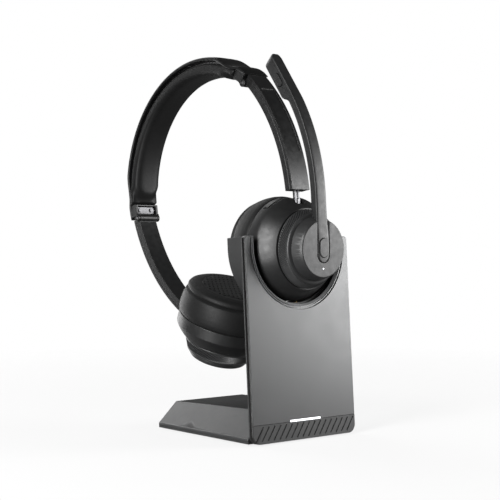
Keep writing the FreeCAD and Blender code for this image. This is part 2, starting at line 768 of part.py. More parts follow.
def make_boom_arm():
    """The foot let into the hub, the arm leaning away from it, and the call button."""
    floor = RIGHT_HUB_END - FOOT_DEEP
    foot = pill(FOOT_HALF, FOOT_BOTTOM, FOOT_TOP, floor, RIGHT_HUB_END + 0.3)
    foot = foot.cut(on_boom(box((-20, 20), (0, 40), (BOOM_FRONT + 0.3, BOOM_FRONT + 9))))
    arm = on_boom(boom_profile(6.0, POD_START, 0, BOOM_THICKNESS, BOOM_HALF))
    arm = arm.cut(box((-20, 20), (-30, 17.4), (0, floor)))
    arm = foot.fuse(arm).removeSplitter()
    low = KEY_MIDDLE - KEY_HALF_LENGTH
    high = KEY_MIDDLE + KEY_HALF_LENGTH
    arm = arm.cut(pill(KEY_HALF_WIDTH + 0.3, low - 0.3, high + 0.3, RIGHT_HUB_END - 1.6, RIGHT_HUB_END + 2))
    save(on_cup(arm, "right"), "boom_arm")

    key = pill(KEY_HALF_WIDTH, low, high, RIGHT_HUB_END - 0.6, RIGHT_HUB_END + 0.75)
    save(on_cup(key, "right"), "call_button")


def make_mic_pod():
    """The thicker end of the boom, with its microphone and mute button."""
    pod = boom_profile(POD_START, BOOM_LENGTH, 0, POD_THICKNESS, BOOM_HALF)
    tip = boom_point(BOOM_LENGTH, 0)
    chamfer = box((-10, 10), (-8, 8), (-8, 0))
    chamfer.rotate(V(0, 0, 0), X_AXIS, 38 - BOOM_BEND)
    chamfer.translate(tip + V(0, -0.6, -2.6))
    pod = pod.cut(chamfer.common(boom_profile(BOOM_LENGTH - 6, BOOM_LENGTH, -1, 10, 6)))
    capsule_middle = boom_point(BOOM_LENGTH - 6.5, POD_THICKNESS - 2.2)
    capsule = Part.makeCylinder(1.8, 3.6, capsule_middle - V(1.8, 0, 0), X_AXIS)
    room = Part.makeCylinder(1.9, 4.0, capsule_middle - V(2.0, 0, 0), X_AXIS)
    pod = pod.cut(room)
    pod = pod.cut(mute_key(2.05, 4.55, BOOM_HALF - 1.3, BOOM_HALF + 1))
    key = mute_key(1.75, 4.25, BOOM_HALF - 0.7, BOOM_HALF + 0.4)
    save(on_cup(on_boom(pod), "right"), "mic_pod")
    save(on_cup(on_boom(capsule), "right"), "mic_capsule")
    save(on_cup(on_boom(key), "right"), "mute_button")


# ---- rods, arms and headband --------------------------------------------------------

def arm_angles(low, high):
    """Polar angles about the arm's arc centre, on the right-hand side."""
    return (180 + low, 180 + high)


ARC = (ARC_CENTRE_U, ARC_CENTRE_V)


def pivot_in_headset(side):
    """The yoke's centre, on the right-hand side of the headset frame."""
    lean = math.radians(CUP_INCLINE[side])
    out = V(0, -math.cos(lean), -math.sin(lean))
    up = V(0, -math.sin(lean), math.cos(lean))
    return V(0, -CUP_OFFSET[side], CUP_HEIGHT[side]) + out * PIVOT_DEPTH + up * PIVOT_HEIGHT


NECK_RISE = 7.5             # arc length from the yoke to where the flat rod begins


def neck_point(side):
    pivot = pivot_in_headset(side)
    angle = math.degrees(math.atan2(pivot.z - ARC_CENTRE_V, pivot.y - ARC_CENTRE_U)) % 360
    start = angle - math.degrees(NECK_RISE / ROD_RADIUS)
    return polar(*ARC, ROD_RADIUS, start), start - 180


def rod_pin(side, radius, below):
    """The round lower end of the rod, through the yoke."""
    pivot = pivot_in_headset(side)
    neck, _ = neck_point(side)
    along = (neck - pivot).normalize()
    return mirrored_if_left(rod_between(pivot - along * below, neck, radius), side)


def make_rod(side):
    pivot = pivot_in_headset(side)
    neck, angle = neck_point(side)
    along = (neck - pivot).normalize()
    half = ROD_THICKNESS / 2
    strip = sector(ARC, (ROD_RADIUS - half, ROD_RADIUS + half), arm_angles(ROD_TOP, angle + 1.9), ROD_HALF)
    outside = ROD_RADIUS + half
    groove = sector(ARC, (outside - 0.5, outside + 1), arm_angles(ROD_TOP + 1, angle + 0.4), 0.45)
    strip = strip.cut(groove)
    pin = rod_between(pivot - along * 3.3, neck, ROD_PIN)
    head = rod_between(pivot - along * 4.1, pivot - along * 3.2, 1.8)
    rod = mirrored_if_left(strip.fuse(pin).fuse(head).removeSplitter(), side)
    save(on_headset(rod), side + "_rod")


def hinge_bar(side_reach, radius, start=None):
    """A round bar on the fold's line, on the right-hand side of the headset."""
    low = -side_reach if start is None else start
    return rod_between(V(low, -FOLD_U, FOLD_V), V(side_reach, -FOLD_U, FOLD_V), radius)


def make_arm(side):
    """The slider arm: a channel for the rod with a knuckle at its top, and its outer cover."""
    body = sector(ARC, (ARM_INNER, ARM_SPLIT), arm_angles(ARM_TOP, ARM_BOTTOM), ARM_HALF)
    half = ROD_THICKNESS / 2 + 0.1
    span = arm_angles(SLOT_TOP, ARM_BOTTOM + 3)
    slot = sector(ARC, (ROD_RADIUS - half, ROD_RADIUS + half), span, ROD_HALF + 0.1)
    body = body.cut(slot).fuse(hinge_bar(ARM_HALF, BARREL_RADIUS)).removeSplitter()
    body = body.cut(hinge_bar(ARM_HALF + 2, HINGE_PIN + 0.05))
    save(on_headset(mirrored_if_left(body, side)), side + "_arm")

    cover = sector(ARC, (ARM_SPLIT + 0.05, ARM_OUTER), arm_angles(ARM_TOP, ARM_BOTTOM), ARM_HALF)
    panel = sector(ARC, (ARM_OUTER - 0.5, ARM_OUTER + 1), arm_angles(-7.5, 15.2), ARM_HALF - 1.7)
    save(on_headset(mirrored_if_left(cover.cut(panel), side)), side + "_arm_cover")


BAND = (0.0, BAND_CENTRE_V)


def end_tapers():
    """Wedges that narrow the band over its last stretch, for the right-hand end."""
    lean = math.degrees(math.atan2(BAND_HALF - BAND_END_HALF, TAPER_LENGTH))
    start = polar(*BAND, BAND_OUTER, BAND_END - math.degrees(TAPER_LENGTH / BAND_OUTER))
    wedges = []
    for side in (-1, 1):
        wedge = box((0, 10), (-20, 20), (-2 * TAPER_LENGTH, 0))
        wedge.rotate(V(0, 0, 0), Y_AXIS, lean)
        if side < 0:
            wedge = wedge.mirror(V(0, 0, 0), X_AXIS)
        wedge.rotate(V(0, 0, 0), X_AXIS, BAND_END - 180)
        wedge.translate(start + V(side * BAND_HALF, 0, 0))
        wedges.append(wedge)
    return wedges


def band_end_frame():
    """The moulded end of the band, on the right: a window, two hinge ears and screw holes."""
    frame = sector(BAND, (FRAME_INNER, COVER_INNER - 0.05), (FRAME_START, BAND_END), BAND_END_HALF)
    frame = frame.cut(sector(BAND, (60, PLATE_OUTER + 0.05), (FRAME_START + 0.9, BAND_END - 0.7), 7.0))
    leaf_room = (SPRING_INNER - 0.1, SPRING_OUTER + 0.1)
    frame = frame.cut(sector(BAND, leaf_room, (100, BAND_END - 3.3), SPRING_HALF + 0.1))
    frame = frame.cut(hinge_bar(ARM_HALF + GAP, BARREL_RADIUS + GAP))
    inner = ARM_HALF + GAP
    outer = BAND_END_HALF - 0.1
    stem_angles = (BAND_END - 2.0, BAND_END + 0.6)
    for low, high in ((-outer, -inner), (inner, outer)):
        stem = sector(BAND, (FRAME_INNER, 71.0), stem_angles, (high - low) / 2)
        stem.translate(V((low + high) / 2, 0, 0))
        frame = frame.fuse(hinge_bar(high, BARREL_RADIUS, low)).fuse(stem)
    return frame.removeSplitter().cut(hinge_bar(BAND_HALF + 2, HINGE_PIN))


SCREW_ANGLE = BAND_END - 3.6
SCREW_SPREAD = 4.4


def screw_line(x, radius):
    """A point on one of the two hinge screws' lines, at a distance from the band's centre."""
    return polar(*BAND, radius, SCREW_ANGLE) + V(x, 0, 0)


def make_band_end(side):
    """The end frame, its steel plate with two screws, and the hinge pin."""
    frame = band_end_frame()
    plate = sector(BAND, (70.0, PLATE_OUTER), (FRAME_START + 1.2, BAND_END - 1.8), ARM_HALF)
    screws = []
    for x in (-SCREW_SPREAD, SCREW_SPREAD):
        head = screw_line(x, 69.2)
        face = screw_line(x, 69.95)
        tip = screw_line(x, 72.8)
        plate = plate.cut(rod_between(head, tip, 0.8))
        frame = frame.cut(rod_between(face, tip, 0.8))
        screw = rod_between(head, face, 1.35).fuse(rod_between(head, tip, 0.78)).removeSplitter()
        screws.append(on_headset(mirrored_if_left(screw, side)))
    save(on_headset(mirrored_if_left(frame, side)), side + "_band_end")
    save(on_headset(mirrored_if_left(plate, side)), side + "_hinge_plate")
    pin = hinge_bar(BAND_END_HALF - 0.3, HINGE_PIN)
    save(on_headset(mirrored_if_left(pin, side)), side + "_hinge_pin")
    return screws


def make_band():
    cover = sector(BAND, (COVER_INNER, BAND_OUTER), (180 - BAND_END, BAND_END), BAND_HALF)
    for wedge in end_tapers():
        cover = cover.cut(wedge).cut(turned_about_crown(wedge))
    save(on_headset(cover), "band_cover")

    leaf_end = BAND_END - 3.5
    spring = sector(BAND, (SPRING_INNER, SPRING_OUTER), (180 - leaf_end, leaf_end), SPRING_HALF)
    save(on_headset(spring), "band_spring")
    pad = sector(BAND, (PAD_INNER, PAD_OUTER), (180 - PAD_END, PAD_END), PAD_HALF)
    save(on_headset(pad), "band_pad")
    screws = make_band_end("right") + make_band_end("left")
    save(Part.makeCompound(screws), "hinge_screws")


os.makedirs(PARTS, exist_ok=True)
make_panel_front()
make_bezel()
make_column()
make_cradle()
make_base_shell()
make_base_underside()
make_base_inside()
for cup_side in ("right", "left"):
    make_cup(cup_side)
    make_rod(cup_side)
    make_arm(cup_side)
make_right_cup_inside()
make_left_cup_inside()
make_boom_hub()
make_boom_arm()
make_mic_pod()
make_band()
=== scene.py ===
import json
import math

import bmesh
import bpy
from mathutils import Matrix, Vector, geometry
from mathutils.bvhtree import BVHTree

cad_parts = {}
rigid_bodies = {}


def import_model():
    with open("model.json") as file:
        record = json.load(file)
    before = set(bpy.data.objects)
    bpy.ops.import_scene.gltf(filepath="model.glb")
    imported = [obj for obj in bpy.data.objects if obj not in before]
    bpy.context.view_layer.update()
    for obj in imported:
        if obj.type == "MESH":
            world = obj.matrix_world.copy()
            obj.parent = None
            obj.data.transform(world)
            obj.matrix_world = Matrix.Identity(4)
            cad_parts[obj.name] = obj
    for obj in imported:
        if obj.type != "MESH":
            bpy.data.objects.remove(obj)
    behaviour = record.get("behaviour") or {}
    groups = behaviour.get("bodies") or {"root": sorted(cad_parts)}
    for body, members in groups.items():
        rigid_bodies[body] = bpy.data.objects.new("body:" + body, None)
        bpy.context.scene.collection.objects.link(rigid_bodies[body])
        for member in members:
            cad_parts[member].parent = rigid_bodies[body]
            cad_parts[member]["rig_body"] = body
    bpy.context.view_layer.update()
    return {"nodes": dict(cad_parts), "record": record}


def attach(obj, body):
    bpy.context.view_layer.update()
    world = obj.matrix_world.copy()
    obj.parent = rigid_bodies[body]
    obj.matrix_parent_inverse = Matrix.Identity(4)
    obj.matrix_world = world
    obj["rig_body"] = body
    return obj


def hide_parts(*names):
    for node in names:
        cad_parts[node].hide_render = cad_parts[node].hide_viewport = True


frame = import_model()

# An office headset in its charging stand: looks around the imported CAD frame.
# Shapes are written in millimetres in the frames below, and scaled to metres when a mesh is made.

MM = 0.001

# ---- frames -------------------------------------------------------------------------

PANEL_LEAN = 3.8
PANEL_FOOT_Y = -43.0
HEADSET_TILT = 35.4
HEADSET_ORIGIN = (0.0, 0.3, 84.4)
CUP_OFFSET = {"right": 32.2, "left": 32.4}
CUP_HEIGHT = {"right": 1.36, "left": -1.6}
CUP_INCLINE = {"right": 35.4, "left": 33.6}


def about_x(degrees):
    return Matrix.Rotation(math.radians(degrees), 4, "X")


def cup_frame(side):
    """Local Y runs up to the rod and local Z outwards, away from the cushion."""
    place = Matrix.Translation((0, -CUP_OFFSET[side], CUP_HEIGHT[side]))
    half_turn = Matrix.Rotation(math.pi if side == "left" else 0.0, 4, "Z")
    return HEADSET @ half_turn @ place @ about_x(90 + CUP_INCLINE[side])


ROW = Matrix.Identity(4)
PANEL = Matrix.Translation((0, PANEL_FOOT_Y, 0)) @ about_x(-PANEL_LEAN)
HEADSET = Matrix.Translation(HEADSET_ORIGIN) @ about_x(-HEADSET_TILT)
CUP = {side: cup_frame(side) for side in ("right", "left")}

# ---- materials ----------------------------------------------------------------------


class Nodes:
    """A material's node tree, with short ways to add nodes and link them."""

    def __init__(self, name):
        self.material = bpy.data.materials.new(name)
        self.material.use_nodes = True
        self.tree = self.material.node_tree
        self.tree.nodes.clear()
        self.output = self.add("ShaderNodeOutputMaterial")
        self.shader = self.add("ShaderNodeBsdfPrincipled")
        self.link(self.shader.outputs[0], self.output.inputs[0])
        self.place = self.add("ShaderNodeTexCoord").outputs["Object"]

    def add(self, kind, **settings):
        node = self.tree.nodes.new(kind)
        for key, value in settings.items():
            setattr(node, key, value)
        return node

    def link(self, source, target):
        self.tree.links.new(source, target)

    def set(self, **values):
        """Values on the shader's own sockets, by socket name with underscores."""
        for key, value in values.items():
            self.shader.inputs[key.replace("_", " ")].default_value = value

    def noise(self, size_mm, detail=3.0):
        node = self.add("ShaderNodeTexNoise")
        node.inputs["Scale"].default_value = 1.0 / (size_mm * MM)
        node.inputs["Detail"].default_value = detail
        self.link(self.place, node.inputs["Vector"])
        return node.outputs[0]

    def cells(self, size_mm, feature="F1", vector=None):
        node = self.add("ShaderNodeTexVoronoi", feature=feature)
        node.inputs["Scale"].default_value = 1.0 / (size_mm * MM)
        self.link(vector or self.place, node.inputs["Vector"])
        return node.outputs["Distance"]

    def spread(self, value, low, high, start=0.3, end=0.7):
        """Maps a texture value to a range."""
        node = self.add("ShaderNodeMapRange")
        limits = {"From Min": start, "From Max": end, "To Min": low, "To Max": high}
        for key, number in limits.items():
            node.inputs[key].default_value = number
        self.link(value, node.inputs["Value"])
        return node.outputs[0]

    def shade(self, value, dark, light):
        """A colour between two greys or tints, by a texture value."""
        node = self.add("ShaderNodeValToRGB")
        node.color_ramp.elements[0].position = 0.3
        node.color_ramp.elements[1].position = 0.7
        node.color_ramp.elements[0].color = (*dark, 1)
        node.color_ramp.elements[1].color = (*light, 1)
        self.link(value, node.inputs[0])
        self.link(node.outputs[0], self.shader.inputs["Base Color"])
        return node.outputs[0]

    def roughness(self, value, low, high, start=0.3, end=0.7):
        self.link(self.spread(value, low, high, start, end), self.shader.inputs["Roughness"])

    def bump(self, value, height_mm, strength=1.0, under=None):
        """Relief from a texture value, over the relief under it."""
        node = self.add("ShaderNodeBump")
        node.inputs["Strength"].default_value = strength
        node.inputs["Distance"].default_value = height_mm * MM
        self.link(value, node.inputs["Height"])
        if under:
            self.link(under, node.inputs["Normal"])
        self.link(node.outputs[0], self.shader.inputs["Normal"])
        return node.outputs[0]


def grey(value, tint=0.0):
    """A neutral colour, a touch cooler as tint grows."""
    return (value, value * (1 + tint / 2), value * (1 + tint))


def moulded(name, value, rough, grain=0.25, height=0.006, spread=0.06, coat=0.0):
    """Moulded plastic: a fine grain in millimetres, and slow changes of shade and gloss."""
    m = Nodes(name)
    m.shade(m.noise(14.0, 2.0), grey(value * 0.92, 0.03), grey(value * 1.08, 0.03))
    m.roughness(m.noise(3.0, 4.0), rough - spread, rough + spread)
    m.bump(m.noise(grain, 2.0), height)
    m.set(Specular_IOR_Level=0.5, Coat_Weight=coat, Coat_Roughness=0.15)
    return m.material


LEATHER_WAVER = 2.5         # size of the waves that bend the grain
LEATHER_WARP = 0.6          # and how far they bend it


def leather(name, value, rough, cell=0.55, height=0.05):
    """Soft leatherette: cell grain with fine creases, glossier on the high spots."""
    m = Nodes(name)
    waver = m.add("ShaderNodeTexNoise")
    waver.inputs["Scale"].default_value = 1.0 / (LEATHER_WAVER * MM)
    m.link(m.place, waver.inputs["Vector"])
    warp = m.add("ShaderNodeVectorMath", operation="MULTIPLY_ADD")
    m.link(waver.outputs["Color"], warp.inputs[0])
    warp.inputs[1].default_value = [LEATHER_WARP * MM] * 3
    m.link(m.place, warp.inputs[2])
    grain = m.cells(cell, "SMOOTH_F1", warp.outputs[0])
    crease = m.cells(cell * 3.7, "DISTANCE_TO_EDGE", warp.outputs[0])
    m.shade(m.noise(9.0, 3.0), grey(value * 0.85, 0.02), grey(value * 1.15, 0.02))
    m.roughness(grain, rough + 0.07, rough - 0.05, 0.1, 0.6)
    fine = m.bump(grain, height, 0.6)
    m.bump(m.spread(crease, 0.0, 1.0, 0.0, 0.08), height * 0.7, 0.35, fine)
    m.set(Specular_IOR_Level=0.22, Sheen_Weight=0.02, Sheen_Roughness=0.45)
    return m.material


def metal(name, colour, rough):
    """Plated or polished metal."""
    m = Nodes(name)
    m.shade(m.noise(6.0), [c * 0.93 for c in colour], [c * 1.07 for c in colour])
    m.roughness(m.noise(1.2, 4.0), rough - 0.05, rough + 0.05)
    m.bump(m.noise(0.5), 0.002, 0.5)
    m.set(Metallic=1.0)
    return m.material


def panel_paint(name, value, rough):
    """The stand's satin metallic paint: fine flake under a thin lacquer."""
    m = Nodes(name)
    m.shade(m.cells(0.12), grey(value * 0.9, 0.02), grey(value * 1.12, 0.02))
    m.roughness(m.noise(8.0), rough - 0.03, rough + 0.03)
    m.bump(m.noise(0.2, 2.0), 0.003, 0.6)
    m.set(Metallic=0.55, Specular_IOR_Level=0.5, Coat_Weight=0.12, Coat_Roughness=0.3)
    return m.material


def glowing(name, colour, strength):
    """A frosted light pipe that is lit."""
    m = Nodes(name)
    m.shade(m.noise(1.0, 2.0), [c * 0.96 for c in colour], colour)
    m.set(Roughness=0.35, Emission_Color=(*colour, 1), Emission_Strength=strength)
    return m.material


def soft_rubber(name, value):
    """Matt rubber with a fine dimpled texture."""
    m = Nodes(name)
    m.shade(m.noise(4.0), grey(value * 0.9), grey(value * 1.1))
    m.roughness(m.noise(1.5), 0.78, 0.9)
    m.bump(m.cells(0.8), 0.05, 0.6)
    m.set(Specular_IOR_Level=0.3)
    return m.material


def circuit(name):
    """Green solder mask with traces as a faint relief."""
    m = Nodes(name)
    traces = m.add("ShaderNodeTexBrick")
    traces.inputs["Scale"].default_value = 420.0
    m.link(m.place, traces.inputs["Vector"])
    m.shade(traces.outputs["Fac"], (0.012, 0.075, 0.03), (0.03, 0.16, 0.07))
    m.roughness(m.noise(2.0), 0.3, 0.45)
    m.bump(traces.outputs["Fac"], 0.03, 0.5)
    return m.material


def woven(name, value):
    """A fine speaker mesh: crossed threads."""
    m = Nodes(name)
    waves = []
    for direction in ("X", "Y"):
        wave = m.add("ShaderNodeTexWave", bands_direction=direction)
        wave.inputs["Scale"].default_value = 700.0
        m.link(m.place, wave.inputs["Vector"])
        waves.append(wave.outputs["Fac"])
    both = m.add("ShaderNodeMath", operation="MULTIPLY")
    m.link(waves[0], both.inputs[0])
    m.link(waves[1], both.inputs[1])
    m.shade(both.outputs[0], grey(value * 0.5), grey(value * 1.3))
    m.roughness(both.outputs[0], 0.85, 0.6, 0.0, 1.0)
    m.bump(both.outputs[0], 0.08, 0.8)
    return m.material


MATERIALS = {
    "panel_skin": panel_paint("panel_skin", 0.072, 0.36),
    "gloss_black": moulded("gloss_black", 0.006, 0.12, 0.6, 0.001, 0.03, coat=0.6),
    "dark_plastic": moulded("dark_plastic", 0.022, 0.5),
    "base_black": moulded("base_black", 0.04, 0.36, 0.35, 0.006),
    "bezel": moulded("bezel", 0.16, 0.3, 0.3, 0.003, coat=0.2),
    "light_lens": glowing("light_lens", (0.95, 0.97, 1.0), 1.6),
    "board": circuit("board"),
    "rubber": soft_rubber("rubber", 0.02),
    "steel": metal("steel", (0.55, 0.55, 0.56), 0.3),
    "contact_gold": metal("contact_gold", (0.83, 0.6, 0.26), 0.22),
    "shell_black": moulded("shell_black", 0.012, 0.4, 0.3, 0.005),
    "driver": woven("driver", 0.06),
    "cushion_leather": leather("cushion_leather", 0.009, 0.52),
    "band_leather": leather("band_leather", 0.006, 0.5, 0.5, 0.04),
    "ring_black": moulded("ring_black", 0.03, 0.38, 0.25, 0.004),
    "hub_grey": moulded("hub_grey", 0.024, 0.42, 0.2, 0.003),
    "boom_grey": moulded("boom_grey", 0.012, 0.44, 0.2, 0.003),
    "rod_steel": metal("rod_steel", (0.13, 0.13, 0.135), 0.36),
    "arm_black": moulded("arm_black", 0.008, 0.38, 0.28, 0.0015),
    "gloss_band": moulded("gloss_band", 0.004, 0.34, 0.5, 0.003),
    "cell": metal("cell", (0.6, 0.6, 0.62), 0.45),
}

# ---- mesh helpers -------------------------------------------------------------------

SAME_POINT = 0.002          # corners closer than this are one
FLAT_ANGLE = 0.4            # triangles that turn by less than this are one face, in degrees
EASED_ANGLE = 30.0          # edges that turn by more than this are rounded, in degrees


def new_piece(name, mesh, matrix, body, slot, nodes, smooth_angle):
    """A piece from a mesh in millimetres: it rides on a body and stands for CAD nodes."""
    mesh.transform(Matrix.Scale(MM, 4) @ matrix)
    mesh.validate()
    mesh.shade_smooth()
    mesh.set_sharp_from_angle(angle=math.radians(smooth_angle))
    piece = bpy.data.objects.new(name, mesh)
    bpy.context.scene.collection.objects.link(piece)
    mesh.materials.clear()
    mesh.materials.append(MATERIALS[slot])
    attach(piece, body)
    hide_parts(*nodes)
    return piece


def mesh_from(name, bm):
    bmesh.ops.recalc_face_normals(bm, faces=bm.faces)
    mesh = bpy.data.meshes.new(name)
    bm.to_mesh(mesh)
    bm.free()
    return mesh


def lathe(profile, steps):
    """A surface of revolution about local Z through (radius, height) points."""
    bm = bmesh.new()
    turns = [2 * math.pi * i / steps for i in range(steps)]
    rings = []
    for radius, height in profile:
        if radius > 0:
            ring = [(radius * math.cos(t), radius * math.sin(t), height) for t in turns]
        else:
            ring = [(0, 0, height)]
        rings.append([bm.verts.new(point) for point in ring])
    for low, high in zip(rings, rings[1:]):
        join_rings(bm, low, high)
    return bm


def join_rings(bm, low, high):
    """Faces between two rings of points, either of which may be a single point."""
    count = max(len(low), len(high))
    for i in range(count):
        j = (i + 1) % count
        corners = [low[i % len(low)], low[j % len(low)], high[j % len(high)], high[i % len(high)]]
        corners = [v for k, v in enumerate(corners) if v not in corners[:k]]
        bm.faces.new(corners)


def soften(piece, width, segments, angle):
    """Rounds the piece's edges that turn by more than an angle."""
    bevel = piece.modifiers.new("edges", "BEVEL")
    bevel.width = width * MM
    bevel.segments = segments
    bevel.limit_method = "ANGLE"
    bevel.angle_limit = math.radians(angle)
    bevel.use_clamp_overlap = False
    bevel.harden_normals = True


def clean_copy(node):
    """The CAD node's mesh with its triangles joined back into plain faces, in millimetres."""
    bm = bmesh.new()
    bm.from_mesh(frame["nodes"][node].data)
    bmesh.ops.scale(bm, vec=(1 / MM, 1 / MM, 1 / MM), verts=bm.verts)
    bmesh.ops.remove_doubles(bm, verts=bm.verts, dist=SAME_POINT)
    flat = math.radians(FLAT_ANGLE)
    bmesh.ops.dissolve_limit(bm, angle_limit=flat, verts=bm.verts, edges=bm.edges)
    mesh = mesh_from(node + "_look", bm)
    for layer in [a for a in mesh.attributes if a.name == "custom_normal"]:
        mesh.attributes.remove(layer)
    return mesh


def eased(node, width):
    """A piece that stands for a CAD node: the same shape with its edges rounded."""
    body = frame["nodes"][node]["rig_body"]
    mesh = clean_copy(node)
    piece = new_piece(node + "_look", mesh, ROW, body, SLOTS[node], [node], EASED_ANGLE)
    soften(piece, width, 3, EASED_ANGLE)


SLOTS = {row["node"]: row["material_slot"] for row in frame["record"]["subparts"]}

# ---- CAD nodes that stay ------------------------------------------------------------


def paint_cad_nodes():
    for node, obj in frame["nodes"].items():
        obj.data.materials.clear()
        obj.data.materials.append(MATERIALS[SLOTS[node]])


paint_cad_nodes()

# ---- rigid pieces with rounded edges ------------------------------------------------

EDGE_WIDTHS = {
    "front_panel": 0.3,
    "stand_column": 0.25,
    "back_cover": 0.25,
    "groove_strip": 0.15,
    "cradle_collar": 0.4,
    "base_shell": 0.5,
    "right_shell": 0.3,
    "left_shell": 0.3,
    "boom_hub": 0.3,
    "left_hub": 0.4,
    "call_button": 0.2,
    "mute_button": 0.15,
    "volume_rocker": 0.25,
    "right_rod": 0.3,
    "left_rod": 0.3,
    "right_arm": 0.4,
    "left_arm": 0.4,
    "right_arm_cover": 0.12,
    "left_arm_cover": 0.12,
    "right_band_end": 0.35,
    "left_band_end": 0.35,
    "right_hinge_plate": 0.1,
    "left_hinge_plate": 0.1,
}


def make_eased_pieces():
    for node, width in EDGE_WIDTHS.items():
        eased(node, width)


make_eased_pieces()

# ---- swept and padded shapes ----------------------------------------------------------

CLOTH = {
    "quality": 6,
    "mass": 0.002,
    "tension_stiffness": 8,
    "compression_stiffness": 8,
    "bending_stiffness": 0.02,
    "use_pressure": True,
    "uniform_pressure_force": 14.0,
    "vertex_group_mass": "held",
}
CLOTH_FRAMES = 20


def smooth_step(value, low, high):
    t = min(max((value - low) / (high - low), 0.0), 1.0)
    return t * t * (3 - 2 * t)


def rounded_outline(squareness, count):
    """Points of a unit superellipse: 1 is an ellipse, towards 0 a rectangle."""
    points = []
    for i in range(count):
        turn = 2 * math.pi * (i + 0.5) / count
        across = math.copysign(abs(math.cos(turn)) ** squareness, math.cos(turn))
        along = math.copysign(abs(math.sin(turn)) ** squareness, math.sin(turn))
        points.append((across, along))
    return points


def swept(rings):
    """A closed skin over rings of points, with flat ends."""
    bm = bmesh.new()
    rows = [[bm.verts.new(point) for point in ring] for ring in rings]
    for low, high in zip(rows, rows[1:]):
        join_rings(bm, low, high)
    bm.faces.new(rows[0])
    bm.faces.new(rows[-1])
    return bm


def even_steps(low, high, count):
    return [low + (high - low) * i / (count - 1) for i in range(count)]


def inflated(mesh, is_held, most):
    """The mesh after a short cloth run, held in places: no point moves by more than most."""
    mesh.transform(Matrix.Scale(MM, 4))
    before = [v.co.copy() for v in mesh.vertices]
    result = after_cloth(mesh, [i for i, co in enumerate(before) if is_held(co / MM)])
    for vertex, start in zip(result.vertices, before):
        move = vertex.co - start
        vertex.co = start + move * min(1.0, most * MM / max(move.length, 1e-9))
    result.transform(Matrix.Scale(1 / MM, 4))
    return result


def after_cloth(mesh, held_points):
    """The mesh blown up from inside, with some of its points held still. Metres."""
    scene = bpy.context.scene
    pad = bpy.data.objects.new("padding", mesh)
    scene.collection.objects.link(pad)
    pad.vertex_groups.new(name="held").add(held_points, 1.0, "REPLACE")
    cloth = pad.modifiers.new("cloth", "CLOTH")
    for key, value in CLOTH.items():
        setattr(cloth.settings, key, value)
    cloth.settings.effector_weights.gravity = 0
    cloth.point_cache.frame_end = CLOTH_FRAMES
    for step in range(1, CLOTH_FRAMES + 1):
        scene.frame_set(step)
    ready = pad.evaluated_get(bpy.context.evaluated_depsgraph_get())
    result = bpy.data.meshes.new_from_object(ready)
    bpy.data.objects.remove(pad)
    scene.frame_set(1)
    return result


# ---- ear cushions -------------------------------------------------------------------

CUSHION_SKIRT = [           # (radius, height) in the cup's frame, from the shell to the face
    (27.2, 1.35), (28.2, 1.2), (28.9, 0.3), (29.3, -1.8), (29.3, -4.5), (28.9, -8.0),
    (28.2, -11.2),
]
CUSHION_SEAM = [(27.5, -12.7), (26.5, -13.3), (26.0, -13.6), (26.4, -13.9), (27.0, -14.6)]
CUSHION_FACE = [
    (27.0, -15.5), (26.2, -16.7), (24.2, -17.7), (21.0, -18.2), (16.0, -18.2), (10.0, -18.0),
    (5.0, -17.9),
]
CUSHION_BACK = [(0.0, 1.0), (12.0, 1.0), (24.0, 1.0)]
CUSHION_CENTRE = [(0.0, -17.9)]
SEAM_DEPTH = -13.5
HELD_RADIUS = 12.0          # the middle of the cushion stays still
PERFORATED_RADIUS = 19.6
HOLE_PITCH = 3.0
HOLE_RADIUS = 0.75
HOLE_DEEP = 1.4
HOLE_CORNERS = 8
DISC_CORNERS = 120
DISC_PROUD = 0.12
BELOW = -60.0               # a height clear of the cushion's face


def between(points, steps):
    """More points along a profile."""
    result = []
    for (r0, h0), (r1, h1) in zip(points, points[1:]):
        result += [(r0 + (r1 - r0) * k / steps, h0 + (h1 - h0) * k / steps) for k in range(steps)]
    return result + [points[-1]]


def cushion_body():
    """The skirt and the crowned face, with the sewn groove between them."""
    outline = between(CUSHION_SKIRT + CUSHION_SEAM + CUSHION_FACE, 3)
    mesh = mesh_from("cushion", lathe(CUSHION_BACK + outline + CUSHION_CENTRE, DISC_CORNERS))

    def is_sewn(co):
        radius = math.hypot(co.x, co.y)
        return co.z > 0.1 or abs(co.z - SEAM_DEPTH) < 0.7 or radius < HELD_RADIUS

    return inflated(mesh, is_sewn, 0.5)


def hole_centres():
    """A staggered grid of points inside the perforated circle."""
    row_pitch = HOLE_PITCH * 0.866
    rows = int(PERFORATED_RADIUS / row_pitch) + 1
    for row in range(-rows, rows + 1):
        for column in range(-rows, rows + 1):
            x = (column + 0.5 * (row % 2)) * HOLE_PITCH
            y = row * row_pitch
            if math.hypot(x, y) < PERFORATED_RADIUS - 1.2:
                yield x, y


def circle_points(x, y, radius, count):
    turns = [2 * math.pi * i / count for i in range(count)]
    return [Vector((x + radius * math.cos(t), y + radius * math.sin(t))) for t in turns]


def punched_disc():
    """The points and faces of a flat disc with holes."""
    points = circle_points(0, 0, PERFORATED_RADIUS, DISC_CORNERS)
    edges = [(i, (i + 1) % DISC_CORNERS) for i in range(DISC_CORNERS)]
    holes = []
    for x, y in hole_centres():
        first = len(points)
        points += circle_points(x, y, HOLE_RADIUS, HOLE_CORNERS)
        edges += [(first + i, first + (i + 1) % HOLE_CORNERS) for i in range(HOLE_CORNERS)]
        holes.append(set(range(first, first + HOLE_CORNERS)))
    spots, _, faces, *_ = geometry.delaunay_2d_cdt(points, edges, [], 1, 1e-5)
    return spots, [face for face in faces if not any(set(face) <= hole for hole in holes)]


